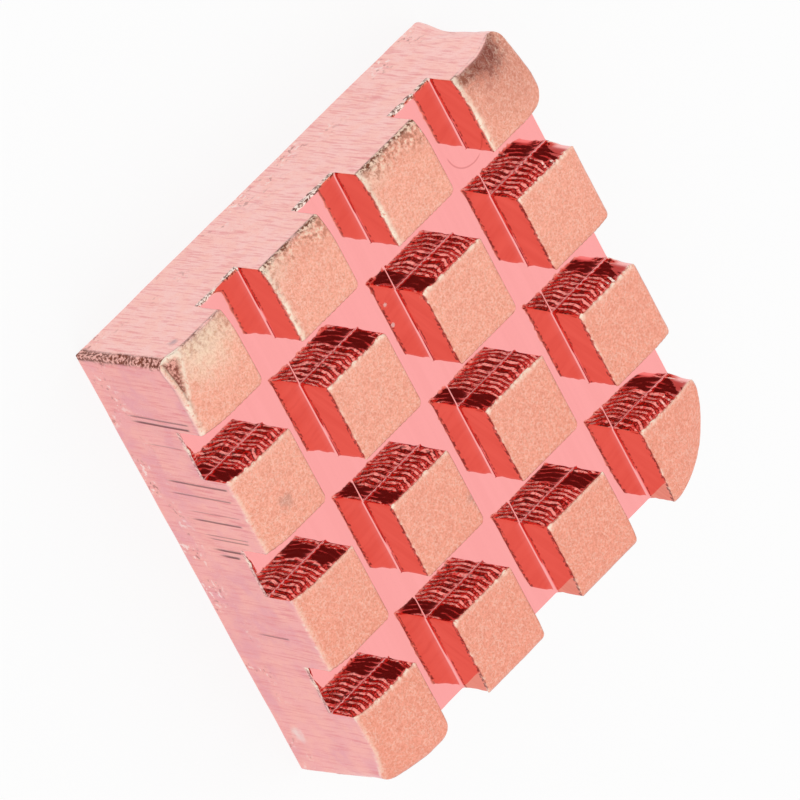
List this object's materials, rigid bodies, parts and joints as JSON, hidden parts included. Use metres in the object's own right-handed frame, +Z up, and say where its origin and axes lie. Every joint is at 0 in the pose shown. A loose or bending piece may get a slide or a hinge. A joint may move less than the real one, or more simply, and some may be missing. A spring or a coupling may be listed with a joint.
{
  "type": "pin fin heat sink",
  "caption": "Square copper pin fin heat sink: a thick flat base with a field of short square pins, stuck to a small chip.",
  "frame": {"origin": "centre of the flat underside, the face that is stuck to the chip", "axes": "+X along the block's length, +Y along its width, +Z up through the pins"},
  "size_m": [0.013, 0.013, 0.0035],
  "materials": {
    "copper": "bare copper: sawn and bright in the slots, matt on top, finely brushed on the sides"
  },
  "bodies": {
    "root": {"heat_sink": "copper"}
  },
  "joints": []
}
